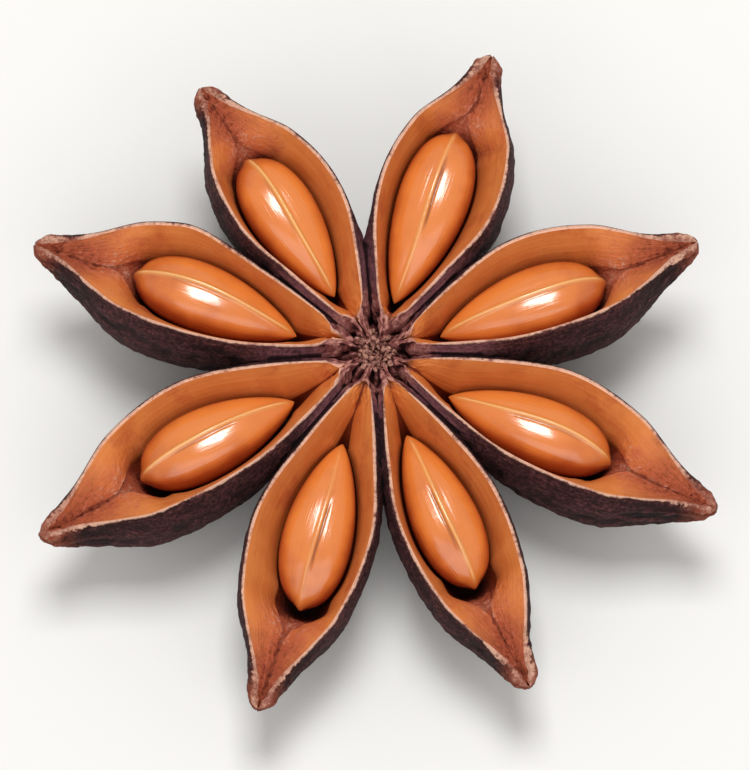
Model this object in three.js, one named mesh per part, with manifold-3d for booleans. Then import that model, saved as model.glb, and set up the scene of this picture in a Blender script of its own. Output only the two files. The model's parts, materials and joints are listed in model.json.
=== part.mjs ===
// A dried star anise pod: eight woody, boat-shaped carpels in a star round a short central column. Each
// carpel has split open along its upper seam and holds one glossy seed. Millimetres, +Z up. The pod lies on
// the keels of its carpels with the open seams upwards. The origin is the middle of its footprint, on the
// surface that it lies on.
import * as THREE from "three";
import { mergeVertices } from "three/addons/utils/BufferGeometryUtils.js";
import Module from "manifold-3d";

const wasm = await Module();
wasm.setup();

// The eight carpels, anticlockwise. Millimetres and degrees: azimuth is the arm's direction from +X, reach
// runs from the pod's axis to the beak's tip, gape is the widest opening between the lips, rise tilts the
// lips above level, roll turns the boat about its own length, bow curves it sideways and hook lifts the
// beak's tip. The seed's pointed inner end lies at seed.from, measured from the axis, and seed.aside is how
// far its inner and its outer end lie to the left of the carpel's middle line.
const CARPELS = [
  {
    azimuth: 17.8, reach: 19.2, gape: 6.3, rise: 1, roll: -8, bow: 0.15, hook: 0.6,
    seed: { from: 3.9, length: 9.7, width: 4.0, aside: [0, 0] },
  },
  {
    azimuth: 68.5, reach: 18.3, gape: 7.0, rise: 5, roll: -2, bow: -0.25, hook: 0.3,
    seed: { from: 3.4, length: 10.3, width: 4.1, aside: [0.3, 0.6] },
  },
  {
    azimuth: 123.5, reach: 18.1, gape: 6.4, rise: 5, roll: 3, bow: -0.2, hook: 0.2,
    seed: { from: 4.2, length: 9.2, width: 3.9, aside: [0.1, 0] },
  },
  {
    azimuth: 163.3, reach: 20.1, gape: 6.8, rise: 1, roll: 8, bow: -0.2, hook: 0.5,
    seed: { from: 4.6, length: 9.7, width: 3.85, aside: [0.2, -0.5] },
  },
  {
    azimuth: 211, reach: 21.5, gape: 6.9, rise: -2, roll: 9, bow: -0.2, hook: 0.4,
    seed: { from: 5.2, length: 9.5, width: 4.0, aside: [0, -0.5] },
  },
  {
    azimuth: 252.5, reach: 21.5, gape: 6.9, rise: -4, roll: 1, bow: -0.05, hook: 0.5,
    seed: { from: 5.3, length: 9.6, width: 4.0, aside: [-0.2, 0.4] },
  },
  {
    azimuth: 293.7, reach: 21.0, gape: 6.1, rise: -4, roll: -3, bow: -0.25, hook: 0.3,
    seed: { from: 4.8, length: 9.4, width: 3.8, aside: [0, 0] },
  },
  {
    azimuth: 333.3, reach: 21.1, gape: 6.6, rise: -2, roll: -9, bow: 0.1, hook: 0.3,
    seed: { from: 4.7, length: 9.7, width: 3.85, aside: [-0.2, 0.3] },
  },
];

// The carpel's lips. Places along a carpel, here and below, are shares of its reach.
const LIP_ARCH = 1.8; // how far the lips bow up between the column and the beak
const LIP_LEAN = 0.9; // below 1, it moves the arch's crown towards the column
const LIP_START = 0.08; // where the two lips part
const LIP_THICKNESS = 0.25;
const CLEFT = 0.12; // the crack between the lips of two neighbours near the column
const CLEFT_EASE = 0.5; // how softly a lip bends away where it meets its neighbour
const ROOT_HALF_WIDTH = 0.22;
const ROLL_COMES = [0.1, 0.6];

// Its beak.
const BEAK_HALF_WIDTH = 0.42;
const BEAK_NIP = 0.42; // how much the lips draw in just before the beak
const BEAK_DRAWS_IN = [0.72, 0.93];
const BEAK_WALL = 0.5; // how much the lips thicken towards the beak, which closes it
const BEAK_CLOSES = [0.8, 0.97];
const BEAK_HOOKS = [0.82, 1];
const TIP_ROUNDING = 0.03; // the stretch over which the beak's tip rounds off
const TIP_LEFT = 0.15; // the share of the beak's section, squared, that is left at its very tip

// Its walls. The powers shape the cut across them: from upright at the lip to the narrow keel.
const WALL_POWER = 1.15;
const DEPTH_POWER = 1.2;
const SWELL_PLACE = 0.75; // below 1, it moves the swelling from halfway down the wall towards the lip
const SWELL_POWER = 1.3;
const BELLY = 0.4; // how far the walls swell out below the lips
const BELLY_COMES = [0.1, 0.35];
const BELLY_FADES = [0.72, 1];
const ROOT_SWELL = 0.65; // how much further beside the column, where neighbours have grown together
const ROOT_COMES = [0.04, 0.14];
const ROOT_FADES = [0.22, 0.42];
const KEEL_FOLLOWS_LIPS = [0.6, 1];
const KEEL_RIDGE = 0.25; // height of the fibrous ridge along the keel
const RIDGE_COMES = [0.15, 0.3];
const BARK_RELIEF = 0.16; // depth of the wrinkles in the bark
const BARK_WRINKLE = 1.7; // their spacing
const BARK_COMES = [0.08, 0.2];
const BARK_BELOW_LIP = [0, 0.25]; // as shares of the way from lip to keel
// The keel's height, from the column's top.
const KEEL_LINE = profile([
  [0, -4.2], [0.2, -5.3], [0.4, -6.3], [0.58, -6.85], [0.72, -6.4], [0.87, -3.8], [1, -0.9],
]);

// Its hollow. The two lines give the depth as a share of the full depth: from the axis, at 0, to the seed's
// inner end, at 1, and from the seed's outer end, at 0, along the beak's groove to the tip, at 1.
const BED_DEPTH = 2.9; // from the lips down to the widest line of the seed's bed
const BED_SHARE = 0.88; // the most of the mouth's width that the bed takes
const FLARE_POWER = 1.2;
const HOLLOW_START = profile([[0, 0.02], [0.5, 0.1], [0.8, 0.5], [1, 0.92], [1.3, 1]]);
const HOLLOW_RISE = profile([[-0.3, 1], [0, 0.96], [0.2, 0.66], [0.5, 0.3], [0.8, 0.12], [1, 0.03]]);
const GROOVE_NARROWS = 0.55;
const GROOVE_STRETCH = [0.01, 0.14]; // where it narrows, past the seed's outer end
const BED_TURNS = [0.5, 1]; // where the bed goes over to the seed's side, as shares of seed.from
const BED_TURNS_BACK = [0, 0.12]; // and back to the middle, past the seed's outer end

// The seed. Its inner end is drawn out to a point, its outer end is round, and a fine ridge runs along it.
const SEED_HEIGHT = 3.9;
const SEED_LIFT = 0.5; // how far the straight seed's two ends lie above the bed's curved middle line
const SEED_POINT = 0.8; // the higher, the longer the point
const SEED_BLUNT = 0.4; // the lower, the blunter the outer end
const SEED_RIDGE = 0.12;
const SEED_CLEARANCE = 0.38;
const BED_KEEPS = [0.12, 0.75]; // the stretch of the seed's length that the bed's width follows

// The column in the middle, and the short broken stalk under it. Heights are from the column's top.
const COLUMN_RADIUS = 1.4;
const CORE_RADIUS = 2.5; // where the carpels' walls have grown together round it
const STALK_RADIUS = 1.05;
const COLUMN_OUTLINE = [
  [0, -5.9], [STALK_RADIUS * 0.8, -5.9], [STALK_RADIUS, -5.6], [STALK_RADIUS, -5.1],
  [CORE_RADIUS * 0.85, -4.4], [CORE_RADIUS, -3.4], [CORE_RADIUS * 0.85, -2],
  [COLUMN_RADIUS, -0.5], [COLUMN_RADIUS * 0.75, 0.15], [0, 0.2],
];
const BUMP_COUNT = 9;
const BUMP_RADIUS = [0.28, 0.4];
const BUMPS_REACH = 1.25; // how far from the axis the outermost bump sits
const GOLDEN_ANGLE = 137.5;

const FLOOR_TRIM = 0.2; // how much of the lowest keel the resting flats take off

// Mesh fineness.
const STATIONS = 20;
const STATION_POWER = 1.2; // above 1, it sets the stations closer together towards the beak
const WALL_STEPS = 12;
const SEED_RINGS = 12;
const SEED_SIDES = 12;
const COLUMN_SIDES = 18;

const rad = THREE.MathUtils.degToRad;
const lerp = THREE.MathUtils.lerp;
const clamp = THREE.MathUtils.clamp;

// From 0 to 1, smoothly, over a stretch.
function over(t, [from, to]) {
  return THREE.MathUtils.smoothstep(t, from, to);
}

// A smooth curve through [place, height] points, as a function of place. It is level beyond its two ends.
function profile(points) {
  const last = points.length - 1;
  const slope = (i) => {
    const a = points[Math.max(i - 1, 0)];
    const b = points[Math.min(i + 1, last)];
    return (b[1] - a[1]) / (b[0] - a[0]);
  };
  return (place) => {
    const t = Math.min(Math.max(place, points[0][0]), points[last][0]);
    const i = points.findLastIndex((p, k) => p[0] <= t && k < last);
    const [x0, y0] = points[i];
    const [x1, y1] = points[i + 1];
    const width = x1 - x0;
    const s = (t - x0) / width;
    return y0 * (1 + 2 * s) * (1 - s) ** 2 + slope(i) * width * s * (1 - s) ** 2
      + y1 * s * s * (3 - 2 * s) + slope(i + 1) * width * s * s * (s - 1);
  };
}

// The smaller of two lengths, rounded where they cross.
function softMin(a, b, ease) {
  const share = clamp(0.5 + (b - a) / (2 * ease), 0, 1);
  return lerp(b, a, share) - ease * share * (1 - share);
}

// A repeatable random number from 0 to 1 for a point of a whole-number lattice.
function lattice(x, y, z) {
  const n = Math.sin(x * 127.1 + y * 311.7 + z * 74.7) * 43758.5453;
  return n - Math.floor(n);
}

// Smooth random relief from -1 to 1.
function relief(x, y, z) {
  const cell = [x, y, z].map(Math.floor);
  const [u, v, w] = [x, y, z].map((p, i) => over(p - cell[i], [0, 1]));
  let sum = 0;
  for (let corner = 0; corner < 8; corner++) {
    const [i, j, k] = [corner & 1, (corner >> 1) & 1, corner >> 2];
    const weight = (i ? u : 1 - u) * (j ? v : 1 - v) * (k ? w : 1 - w);
    sum += weight * lattice(cell[0] + i, cell[1] + j, cell[2] + k);
  }
  return sum * 2 - 1;
}

function lipArch(t) {
  return LIP_ARCH * Math.sin(Math.PI * t ** LIP_LEAN);
}

function lipHeight(carpel, t) {
  return lipArch(t) + Math.tan(rad(carpel.rise)) * carpel.reach * t + carpel.hook * over(t, BEAK_HOOKS);
}

function keelHeight(carpel, t) {
  return KEEL_LINE(t) + over(t, KEEL_FOLLOWS_LIPS) * (lipHeight(carpel, t) - lipArch(t));
}

function rollAt(carpel, t) {
  return rad(carpel.roll) * over(t, ROLL_COMES);
}

// The point at a place along a carpel, y to the left of its middle line and z above the column's top.
function inCarpel(carpel, t, y, z) {
  const turn = rollAt(carpel, t);
  const pivot = lipHeight(carpel, t) - BED_DEPTH;
  const side = y * Math.cos(turn) - (z - pivot) * Math.sin(turn) + carpel.bow * Math.sin(Math.PI * t);
  const up = pivot + y * Math.sin(turn) + (z - pivot) * Math.cos(turn);
  const point = new THREE.Vector3(carpel.reach * t, side, up);
  return point.applyAxisAngle(new THREE.Vector3(0, 0, 1), rad(carpel.azimuth));
}

// How far a lip can go sideways before it meets the next carpel's. side is 1 to the left, -1 to the right.
function roomBeside(carpel, t, side) {
  const count = CARPELS.length;
  const neighbour = CARPELS[(CARPELS.indexOf(carpel) + side + count) % count];
  const between = THREE.MathUtils.euclideanModulo(side * (neighbour.azimuth - carpel.azimuth), 360);
  const shift = carpel.bow * Math.sin(Math.PI * t) - BED_DEPTH * Math.sin(rollAt(carpel, t));
  return carpel.reach * t * Math.tan(rad(between / 2)) - CLEFT / 2 - side * shift;
}

// The beak's tip is round: the cut across the shell shrinks over the last stretch.
function tipRounding(t) {
  const past = Math.max(0, (t - 1 + TIP_ROUNDING) / TIP_ROUNDING);
  return Math.sqrt(1 - (1 - TIP_LEFT) * past ** 2);
}

// From the carpel's middle line to the outside of one lip.
function halfGape(carpel, t, side) {
  const opening = Math.max(0, Math.sin(Math.PI * (t - LIP_START) / (1 - LIP_START)));
  const drawnIn = 1 - BEAK_NIP * over(t, BEAK_DRAWS_IN);
  const closed = lerp(ROOT_HALF_WIDTH, BEAK_HALF_WIDTH, t);
  const free = closed + (carpel.gape / 2 - closed) * opening * drawnIn;
  const held = softMin(free, roomBeside(carpel, t, side), CLEFT_EASE);
  return Math.max(held, ROOT_HALF_WIDTH) * tipRounding(t);
}

// How much of its full width the seed has at a share of its own length.
function seedTaper(share) {
  const taper = (s) => Math.max(0, s) ** SEED_POINT * Math.max(0, 1 - s) ** SEED_BLUNT;
  const widest = SEED_POINT / (SEED_POINT + SEED_BLUNT);
  return taper(share) / taper(widest);
}

// The height of the seed's middle line. It runs straight from one end to the other.
function seedHeight(carpel, share) {
  const { from, length } = carpel.seed;
  const inner = lipHeight(carpel, from / carpel.reach);
  const outer = lipHeight(carpel, (from + length) / carpel.reach);
  return lerp(inner, outer, share) + SEED_LIFT - BED_DEPTH;
}

// How far the bed's middle lies to the left of the carpel's, so that the seed lies in the bed's middle.
function bedAside(carpel, t) {
  const { from, length, aside } = carpel.seed;
  const out = t * carpel.reach;
  const beside = lerp(...aside, clamp((out - from) / length, 0, 1));
  const past = t - (from + length) / carpel.reach;
  return beside * over(out / from, BED_TURNS) * (1 - over(past, BED_TURNS_BACK));
}

// One half of a cut across the outside of the shell, as [half width, height]. share goes from 0 at the lip
// to 1 at the keel.
function outerHalf(carpel, t, side, share) {
  const angle = share * Math.PI / 2;
  const lip = lipHeight(carpel, t);
  const depth = (lip - keelHeight(carpel, t)) * tipRounding(t);
  const wall = halfGape(carpel, t, side) * Math.cos(angle) ** WALL_POWER;
  const belly = BELLY * over(t, BELLY_COMES) * (1 - over(t, BELLY_FADES));
  const root = ROOT_SWELL * over(t, ROOT_COMES) * (1 - over(t, ROOT_FADES));
  const swell = (belly + root) * Math.max(0, Math.sin(Math.PI * share ** SWELL_PLACE)) ** SWELL_POWER;
  return [wall + swell, lip - depth * Math.sin(angle) ** DEPTH_POWER];
}

// The same for the hollow: a flare from the lip to the bed's widest line, then the round bed. Past the seed
// the bed narrows to the groove of the beak.
function innerHalf(carpel, t, side, share) {
  const { seed, reach } = carpel;
  const lip = lipHeight(carpel, t);
  const half = halfGape(carpel, t, side);
  const thickness = Math.min((1 - BED_SHARE) * half, LIP_THICKNESS) + BEAK_WALL * over(t, BEAK_CLOSES);
  const mouth = Math.max((1 - BED_SHARE) * half, half - thickness);
  const outer = (seed.from + seed.length) / reach;
  const inSeed = clamp((t * reach - seed.from) / seed.length, ...BED_KEEPS);
  const groove = 1 - GROOVE_NARROWS * over(t - outer, GROOVE_STRETCH);
  const bed = Math.min(BED_SHARE * mouth, seed.width / 2 * seedTaper(inSeed) + SEED_CLEARANCE) * groove;
  const deep = Math.min(HOLLOW_START(t * reach / seed.from), HOLLOW_RISE((t - outer) / (1 - outer)));
  if (share < 0.5) {
    const down = share / 0.5;
    return [bed + (mouth - bed) * (1 - down) ** FLARE_POWER, lip - deep * BED_DEPTH * down];
  }
  const angle = (share - 0.5) * Math.PI;
  const bedBottom = SEED_HEIGHT / 2 + SEED_CLEARANCE;
  return [bed * Math.cos(angle), lip - deep * (BED_DEPTH + bedBottom * Math.sin(angle))];
}

// The closed ring of points where a carpel's shell is cut across: down and up the bark, then back through
// the hollow.
function shellRing(carpel, t) {
  const ring = [];
  const own = CARPELS.indexOf(carpel);
  for (let i = 0; i <= WALL_STEPS; i++) {
    const across = 1 - 2 * i / WALL_STEPS;
    const side = across < 0 ? -1 : 1;
    const share = 1 - Math.abs(across);
    const [y, z] = outerHalf(carpel, t, side, share);
    const point = inCarpel(carpel, t, side * y, z).divideScalar(BARK_WRINKLE);
    const wrinkle = relief(point.x + own, point.y, point.z);
    const atKeel = across === 0;
    const inset = atKeel ? 0 : BARK_RELIEF * wrinkle * over(share, BARK_BELOW_LIP) * over(t, BARK_COMES);
    const ridge = atKeel ? KEEL_RIDGE * (1 + wrinkle) * over(t, RIDGE_COMES) : 0;
    ring.push(inCarpel(carpel, t, side * (y + inset), z - ridge));
  }
  for (let i = WALL_STEPS; i >= 0; i--) {
    const across = 1 - 2 * i / WALL_STEPS;
    const side = across < 0 ? -1 : 1;
    const share = 1 - Math.abs(across);
    const [y, z] = innerHalf(carpel, t, side, share);
    const aside = bedAside(carpel, t) * Math.min(1, share / 0.5);
    ring.push(inCarpel(carpel, t, side * y + aside, z));
  }
  return ring;
}

// A closed surface through rings of equal count. Each end is closed by a strip between the ring's halves.
function loft(rings) {
  const count = rings[0].length;
  const faces = [];
  const quad = (a, b, c, d) => faces.push(a, b, c, a, c, d);
  for (let r = 0; r + 1 < rings.length; r++) {
    for (let i = 0; i < count; i++) {
      const next = (i + 1) % count;
      quad(r * count + i, (r + 1) * count + i, (r + 1) * count + next, r * count + next);
    }
  }
  const last = (rings.length - 1) * count;
  for (let i = 0; i + 1 < count / 2; i++) {
    const [a, b, c, d] = [i, i + 1, count - 2 - i, count - 1 - i];
    quad(a, b, c, d);
    quad(last + a, last + d, last + c, last + b);
  }
  return new THREE.BufferGeometry().setFromPoints(rings.flat()).setIndex(faces);
}

function shell(carpel) {
  const places = Array.from({ length: STATIONS }, (_, i) => 1 - (1 - i / (STATIONS - 1)) ** STATION_POWER);
  return loft(places.map((t) => shellRing(carpel, t)));
}

// A seed: a sphere with its poles along the carpel, drawn out to its point, with the ridge on top.
function seed(carpel) {
  const { from, length, width, aside } = carpel.seed;
  const geometry = new THREE.SphereGeometry(1, SEED_SIDES, SEED_RINGS).rotateZ(-Math.PI / 2);
  const position = geometry.getAttribute("position");
  const point = new THREE.Vector3();
  for (let i = 0; i < position.count; i++) {
    point.fromBufferAttribute(position, i);
    const share = (1 + point.x) / 2;
    const round = Math.hypot(point.y, point.z) || 1;
    const wide = seedTaper(share);
    const t = (from + share * length) / carpel.reach;
    const ridge = point.z / round > 0.95 ? SEED_RIDGE * wide : 0;
    const y = lerp(...aside, share) + width / 2 * wide * point.y / round;
    const z = seedHeight(carpel, share) + SEED_HEIGHT / 2 * wide * point.z / round + ridge;
    const placed = inCarpel(carpel, t, y, z);
    position.setXYZ(i, placed.x, placed.y, placed.z);
  }
  return geometry;
}

// The column between the carpels, with its knobbly top and the stalk's broken stub below.
function columnParts() {
  const outline = COLUMN_OUTLINE.map(([r, z]) => new THREE.Vector2(r, z));
  const turned = new THREE.LatheGeometry(outline, COLUMN_SIDES).rotateX(Math.PI / 2);
  const bumps = Array.from({ length: BUMP_COUNT }, (_, i) => {
    const radius = lerp(...BUMP_RADIUS, lattice(i, 3, 7));
    const out = BUMPS_REACH * Math.sqrt(i / BUMP_COUNT);
    const turn = i * rad(GOLDEN_ANGLE);
    const height = lerp(0.22, 0, (out / BUMPS_REACH) ** 2) + 0.12 * lattice(i, 5, 1);
    const bump = new THREE.IcosahedronGeometry(radius, 1);
    return bump.translate(out * Math.cos(turn), out * Math.sin(turn), height);
  });
  return [turned, ...bumps];
}

// A closed geometry as a manifold-3d solid, and back.
function solidOf(geometry) {
  const bare = geometry.clone();
  bare.deleteAttribute("normal");
  bare.deleteAttribute("uv");
  const merged = mergeVertices(bare, 1e-4);
  return new wasm.Manifold(new wasm.Mesh({
    numProp: 3,
    vertProperties: merged.getAttribute("position").array,
    triVerts: new Uint32Array(merged.index.array),
  }));
}

function geometryOf(solid) {
  const mesh = solid.getMesh();
  return new THREE.BufferGeometry()
    .setAttribute("position", new THREE.BufferAttribute(new Float32Array(mesh.vertProperties), 3))
    .setIndex(new THREE.BufferAttribute(new Uint32Array(mesh.triVerts), 1));
}

// The husk is one piece: column and carpels grown together, with a small flat where each keel rests.
function husk() {
  const parts = [...columnParts(), ...CARPELS.map(shell)].map(solidOf);
  const grown = parts.reduce((all, part) => all.add(part));
  const size = 60;
  const top = grown.boundingBox().min[2] + FLOOR_TRIM;
  const floor = new THREE.BoxGeometry(size, size, size).translate(0, 0, top - size / 2);
  return geometryOf(grown.subtract(solidOf(floor)));
}

const bark = new THREE.MeshStandardMaterial({ color: 0x5a3a34, roughness: 0.85, metalness: 0 });
const polished = new THREE.MeshStandardMaterial({ color: 0xd97a3a, roughness: 0.22, metalness: 0 });

function named(name, geometry, material) {
  const mesh = new THREE.Mesh(geometry, material);
  mesh.name = name;
  return mesh;
}

const pod = new THREE.Group();
pod.add(named("husk", husk(), bark));
CARPELS.forEach((carpel, i) => pod.add(named(`seed_${i + 1}`, seed(carpel), polished)));

// The origin: the middle of the footprint, on the surface that the keels rest on.
const extent = new THREE.Box3().setFromObject(pod);
const middle = extent.getCenter(new THREE.Vector3());
pod.position.set(-middle.x, -middle.y, -extent.min.z);

export default pod;
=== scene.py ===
import json
import math

import bpy
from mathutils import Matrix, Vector

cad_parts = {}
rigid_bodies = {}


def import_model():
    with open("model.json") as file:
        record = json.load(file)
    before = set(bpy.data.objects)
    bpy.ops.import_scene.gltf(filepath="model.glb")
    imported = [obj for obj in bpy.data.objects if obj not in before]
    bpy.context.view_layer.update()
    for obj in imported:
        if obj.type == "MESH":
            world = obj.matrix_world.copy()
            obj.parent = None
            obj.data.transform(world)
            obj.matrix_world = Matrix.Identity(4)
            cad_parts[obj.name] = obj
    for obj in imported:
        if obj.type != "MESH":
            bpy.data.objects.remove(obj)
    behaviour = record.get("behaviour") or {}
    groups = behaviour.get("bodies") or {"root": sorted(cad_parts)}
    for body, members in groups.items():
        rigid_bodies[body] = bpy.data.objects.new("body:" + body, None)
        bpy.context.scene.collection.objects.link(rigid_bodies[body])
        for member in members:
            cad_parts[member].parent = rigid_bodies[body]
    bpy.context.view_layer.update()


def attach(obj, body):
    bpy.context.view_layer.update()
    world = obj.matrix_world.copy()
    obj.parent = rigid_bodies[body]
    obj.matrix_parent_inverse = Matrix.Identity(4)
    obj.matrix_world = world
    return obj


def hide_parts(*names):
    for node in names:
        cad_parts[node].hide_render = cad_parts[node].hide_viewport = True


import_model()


# Carpels. Each of the pod's eight arms is a woody boat, grown from one folded leaf whose two edges are the
# lips on top, and dried until it split open along them. They are lofted by one Geometry Nodes tree, in
# millimetres from the top of the column that they grow from. Angles are in degrees.
MM = 0.001
COLUMN_TOP = Vector((0.032, 1.705, 7.004))  # where it is in the frame, in millimetres

# azimuth is the arm's direction from +X, reach runs from the pod's axis to the beak's tip, gape is the widest
# opening between the lips, rise tilts the lips above level, roll turns the boat about its own length, bow
# curves it sideways and hook lifts the beak's tip. Its lips part at parts from the axis. The seed's pointed
# inner end is seed_from from the axis, and its two ends lie seed_in and seed_out left of the middle line.
# Past its outer end the hollow stays open for a gap. Ridge and crack are how strongly these show on the seed.
CARPELS = [
    dict(azimuth=17.8, reach=19.2, gape=6.3, rise=1, roll=-8, bow=0.15, hook=0.6, parts=2.2, gap=0.1,
         seed_from=3.9, seed_length=9.7, seed_width=4.0, seed_in=0.0, seed_out=0.0, ridge=1.0, crack=0.3),
    dict(azimuth=68.5, reach=18.3, gape=7.0, rise=5, roll=-2, bow=-0.25, hook=0.3, parts=2.1, gap=0.0,
         seed_from=3.4, seed_length=10.3, seed_width=4.1, seed_in=0.3, seed_out=0.6, ridge=0.6, crack=1.0),
    dict(azimuth=123.5, reach=18.1, gape=6.4, rise=5, roll=3, bow=-0.2, hook=0.2, parts=2.3, gap=0.0,
         seed_from=4.2, seed_length=9.2, seed_width=3.9, seed_in=0.1, seed_out=0.0, ridge=1.3, crack=0.3),
    dict(azimuth=163.3, reach=20.1, gape=6.8, rise=1, roll=8, bow=-0.2, hook=0.5, parts=2.8, gap=0.15,
         seed_from=4.6, seed_length=9.7, seed_width=3.85, seed_in=0.2, seed_out=-0.5, ridge=1.3, crack=0.3),
    dict(azimuth=211, reach=21.5, gape=6.9, rise=-2, roll=9, bow=-0.2, hook=0.4, parts=2.6, gap=0.5,
         seed_from=5.2, seed_length=9.5, seed_width=4.0, seed_in=0.0, seed_out=-0.5, ridge=1.0, crack=0.6),
    dict(azimuth=252.5, reach=21.5, gape=6.9, rise=-4, roll=1, bow=-0.05, hook=0.5, parts=1.9, gap=0.8,
         seed_from=5.3, seed_length=9.6, seed_width=4.0, seed_in=-0.2, seed_out=0.4, ridge=0.3, crack=1.0),
    dict(azimuth=293.7, reach=21.0, gape=6.1, rise=-4, roll=-3, bow=-0.25, hook=0.3, parts=1.9, gap=0.8,
         seed_from=4.8, seed_length=9.4, seed_width=3.8, seed_in=0.0, seed_out=0.0, ridge=0.8, crack=0.8),
    dict(azimuth=333.3, reach=21.1, gape=6.6, rise=-2, roll=-9, bow=0.1, hook=0.3, parts=1.9, gap=0.3,
         seed_from=4.7, seed_length=9.7, seed_width=3.85, seed_in=-0.2, seed_out=0.3, ridge=1.0, crack=0.5),
]
# What follows from the table: the angles to the planes halfway to the next arms, and the side of its seed's
# ridge that the crack is on, which is the one towards the front.
for number, carpel in enumerate(CARPELS):
    following = CARPELS[(number + 1) % len(CARPELS)]
    between = (following["azimuth"] - carpel["azimuth"]) % 360
    carpel["left_room"] = between / 2
    following["right_room"] = between / 2
    carpel["number"] = number + 1
    carpel["crack_side"] = 1 if 90 < carpel["azimuth"] < 270 else -1

# The lips. Places along a carpel are shares of its reach, and a pair of places is where something comes or
# fades, smoothly, from the one to the other.
LIP_ARCH = 1.8
LIP_LEAN = 0.9  # below 1, the arch is highest a little before its middle
LIP_START = 0.08
LIP_THICKNESS = 0.26
LIP_CROWN = 0.35  # how high a lip is rounded, as a share of its thickness
LIP_RAG = 0.1
LIP_RAG_GRAIN = 0.5
CLEFT = 0.42  # the gap that two neighbours' lips keep where they run close together
CLEFT_EASE = 0.5
ROOT_HALF_WIDTH = 0.22
ROOT_WALL = 0.9  # how much thicker the walls are by the column, where the two lips have not parted
ROOT_OPENS = (-1.1, 0.6)  # and where that ends, in millimetres from where they part
ROLL_COMES = (0.1, 0.6)
# The beak.
BEAK_HALF_WIDTH = 0.62
BEAK_NIP = 0.42
BEAK_DRAWS_IN = (0.72, 0.93)
BEAK_WALL = 0.5
BEAK_CLOSES = (0.8, 0.97)
BEAK_HOOKS = (0.82, 1)
TIP_ROUNDING = 0.036
TIP_LEFT = 0.02  # the square of the share of its width that the very end keeps
TIP_KNOBS = 0.2
TIP_KNOB_GRAIN = 0.7
TIP_ROUGH = (0.87, 0.95)
TIP_SMOOTH = (0.985, 1)
# The walls.
WALLS_MEET = 0.04  # how far a wall goes past the plane halfway to its neighbour, where they touch
WALLS_EASE = 0.12
WALL_POWER = 1.15
DEPTH_POWER = 1.2
SWELL_PLACE = 0.75
SWELL_POWER = 1.3
BELLY = 0.4
BELLY_COMES = (0.1, 0.35)
BELLY_FADES = (0.72, 1)
ROOT_SWELL = 0.65
ROOT_COMES = (0.04, 0.14)
ROOT_FADES = (0.22, 0.42)
ROOT_WEB = 0.26  # how far the walls reach out to each other there, just below the lips
ROOT_WEB_BELOW = (0, 0.1)
KEEL_FOLLOWS_LIPS = (0.6, 1)
KEEL_LINE = [(0, -4.2), (0.2, -5.3), (0.4, -6.3), (0.58, -6.85), (0.72, -6.4), (0.87, -3.8), (1, -0.9)]
KEEL_RIDGE = 0.25
KEEL_RIDGE_WIDENS = (0.84, 1)
KEEL_RIDGE_COMES = (0.15, 0.3)
# The bark's relief: heights, and the sizes of its lumps. Each ALONG is how fast a pattern changes along a
# carpel, next to how fast it does round it.
BARK_FROM_LIP = (0.01, 0.2)
BARK_FROM_ROOT = (0.08, 0.2)
BARK_ALONG = 0.5
BARK_RELIEF = 0.19
BARK_WRINKLE = 1.4
CREASE_DEPTH = 0.09
CREASE_GRAIN = 1.1
CREASE_SHARPNESS = 3
PEBBLE_HEIGHT = 0.11
PEBBLE_GRAIN = 0.55
GRAIN_ROUND = 9  # how many millimetres half a ring counts for in these patterns
GRAIN_APART = 20  # and how far apart two carpels' patterns are taken
# The hollow that the seed lies in, and the beak's groove past it.
BED_DEPTH = 2.9
BED_AT = 0.5  # where the flare ends and the round bed starts, as a share of the way to the bottom
BED_SHARE = 0.88
FLARE_POWER = 1.2
HOLLOW_FROM = 2.1
HOLLOW_START = [(-1, 0.03), (-0.5, 0.1), (0, 0.14), (0.4, 0.42), (1, 0.92), (1.4, 1)]
HOLLOW_RISE = [
    (-0.3, 1), (-0.12, 0.9), (0, 0.66), (0.1, 0.5), (0.3, 0.36), (0.6, 0.21), (0.85, 0.09), (1, 0.03),
]
HOLLOW_RELIEF = 0.03
HOLLOW_GRAIN = 1.3
HOLLOW_ALONG = 0.15
GROOVE_NARROWS = 0.94
GROOVE_STRETCH = (-0.05, 0.065)
GROOVE_AT_ROOT = (-0.09, 0.03)
GROOVE_ROUGHNESS = 0.16
GROOVE_GRAIN = 0.4
GROOVE_BELOW_LIP = (0.1, 0.5)
GROOVE_PAST_SEED = (-0.2, 1)  # where it turns rough, in millimetres from the seed's outer end
BED_TURNS = (0.5, 1)  # where the bed goes over to the seed's side, as shares of seed_from
BED_TURNS_BACK = (0, 0.12)  # and back to the middle, past the seed's outer end
SEED_HEIGHT = 3.9
SEED_LIFT = 0.5  # how far the straight seed's two ends lie above the bed's curved middle line
SEED_POINT = 0.8  # how a seed narrows to its inner end, and to its outer one: below 1 is blunter
SEED_BLUNT = 0.48
SEED_CLEARANCE = 0.12
BED_KEEPS = (0.03, 0.9)  # the bed's two ends keep the width that the seed has at these shares of its length
# The mesh: cuts across each carpel, closer together at both ends, and steps round each cut.
STATIONS = 112
STATIONS_CROWDED = 0.4
WALL_STEPS = 38
LIP_STEPS = 8
HOLLOW_STEPS = 36
SEAM = 1e-4  # points closer than this are one
LEFT_NUDGE = 1e-4  # makes the bottom line itself count as left


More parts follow.
